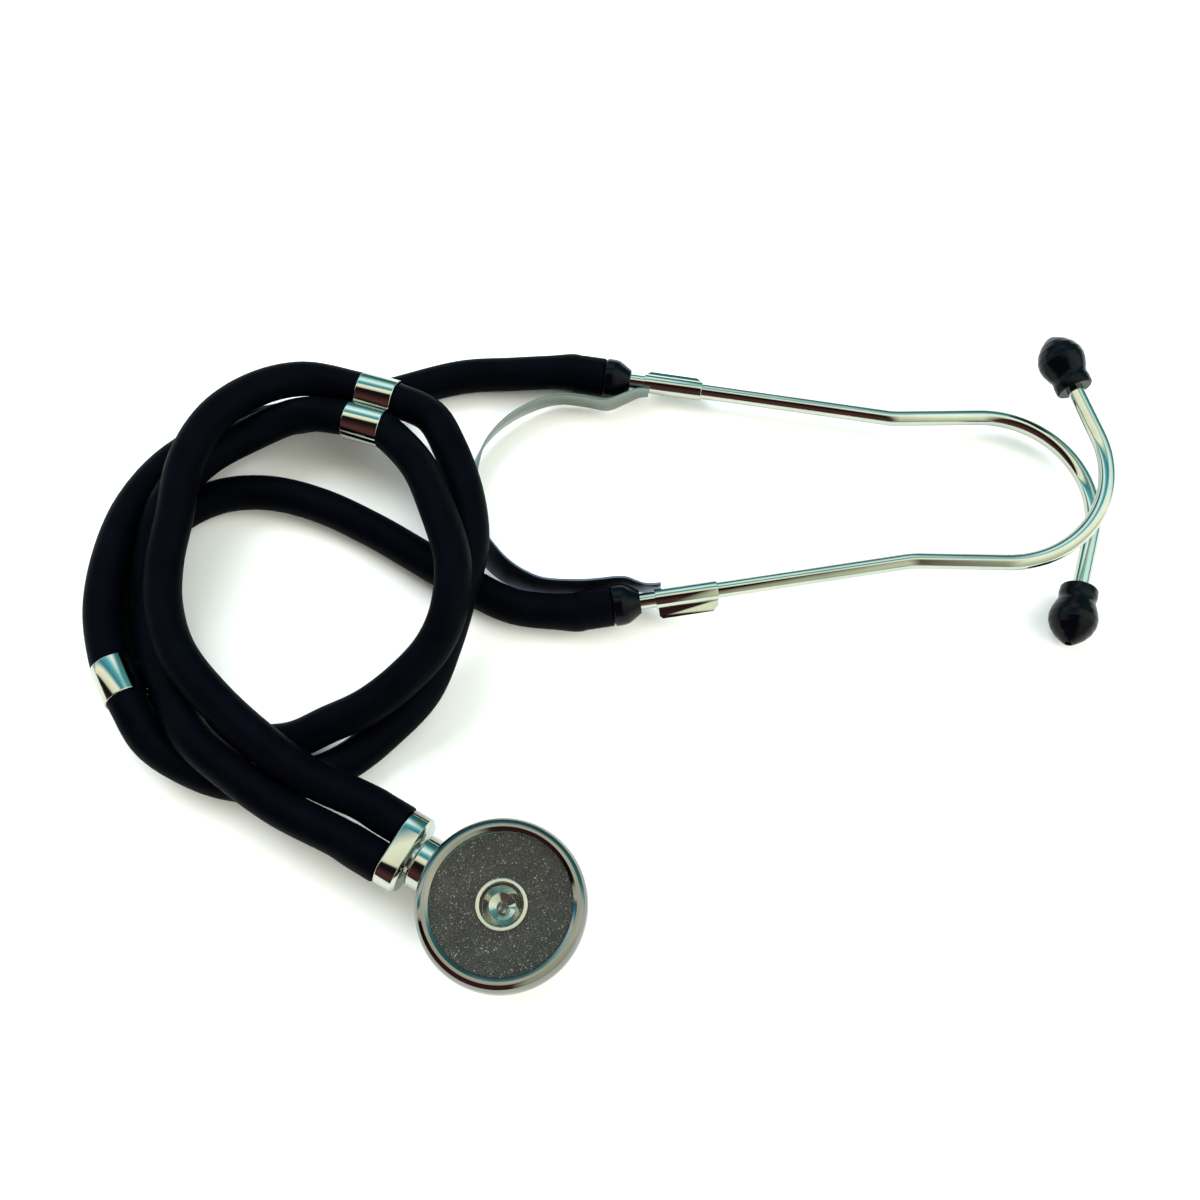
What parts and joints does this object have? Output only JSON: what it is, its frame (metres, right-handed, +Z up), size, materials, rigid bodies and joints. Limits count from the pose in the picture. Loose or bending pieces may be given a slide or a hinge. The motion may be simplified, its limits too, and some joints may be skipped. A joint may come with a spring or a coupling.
{
  "type": "stethoscope",
  "caption": "Two-tube stethoscope lying coiled, with a turning two-sided chest piece, figure-eight tube clips, a leaf spring, bent ear tubes and ear tips.",
  "frame": {"origin": "on the supporting surface, below the middle of the box of the metal parts", "axes": "+Z up from the surface, +X from the coiled tubing to the ear tips, +Y from the chest piece to the left ear side"},
  "size_m": [0.3094, 0.2051, 0.0335],
  "materials": {
    "tubing": "satin",
    "chrome": "polished",
    "steel": "satin",
    "spring_steel": "satin",
    "ring_metal": "polished",
    "diaphragm": "clear",
    "seal_rubber": "matte",
    "black_plastic": "gloss"
  },
  "bodies": {
    "tubing": {"tube_left": "tubing", "tube_right": "tubing", "tube_clip_upper": "chrome", "tube_clip_lower": "chrome", "stem_block": "chrome", "hose_barb_upper": "steel", "hose_barb_lower": "steel", "valve_spindle": "steel", "spindle_seal": "seal_rubber", "retaining_ring": "steel", "detent_ball": "steel", "detent_spring": "steel", "leaf_spring": "spring_steel"},
    "head": {"head_body": "chrome", "large_ring": "ring_metal", "large_diaphragm": "diaphragm", "large_gasket": "seal_rubber", "small_ring": "ring_metal", "small_diaphragm": "diaphragm", "small_gasket": "seal_rubber"},
    "left_arm": {"spring_sleeve_left": "chrome", "tube_connector_left": "black_plastic"},
    "right_arm": {"spring_sleeve_right": "chrome", "tube_connector_right": "black_plastic"},
    "left_ear": {"ear_tube_left": "chrome", "ear_tip_left": "black_plastic"},
    "right_ear": {"ear_tube_right": "chrome", "ear_tip_right": "black_plastic"}
  },
  "joints": [
    {"name": "head_turn", "type": "hinge", "parent": "tubing", "child": "head", "pos_m": [-0.0691, -0.078, 0.014], "axis": [-0.866, 0.5, 0], "continuous": true},
    {"name": "spread_left", "type": "hinge", "parent": "tubing", "child": "left_arm", "pos_m": [-0.0683, 0.09, 0.007], "axis": [0, 0, 1], "range_deg": [0, 25], "stiffness_Nm_per_rad": 1.5, "deforming": ["tube_left", "leaf_spring"]},
    {"name": "spread_right", "type": "hinge", "parent": "tubing", "child": "right_arm", "pos_m": [-0.0683, 0.018, 0.007], "axis": [0, 0, 1], "range_deg": [-25, 0], "stiffness_Nm_per_rad": 1.5, "deforming": ["tube_right", "leaf_spring"]},
    {"name": "twist_left", "type": "hinge", "parent": "left_arm", "child": "left_ear", "pos_m": [-0.0333, 0.0945, 0.0065], "axis": [0.9857, -0.1685, 0.0052], "range_deg": [0, 40]},
    {"name": "twist_right", "type": "hinge", "parent": "right_arm", "child": "right_ear", "pos_m": [-0.0311, 0.015, 0.0082], "axis": [0.9886, 0.1284, 0.0785], "range_deg": [0, 40]}
  ],
  "couplings": [
    {"joint": "spread_right", "follows": "spread_left", "ratio": -1}
  ]
}
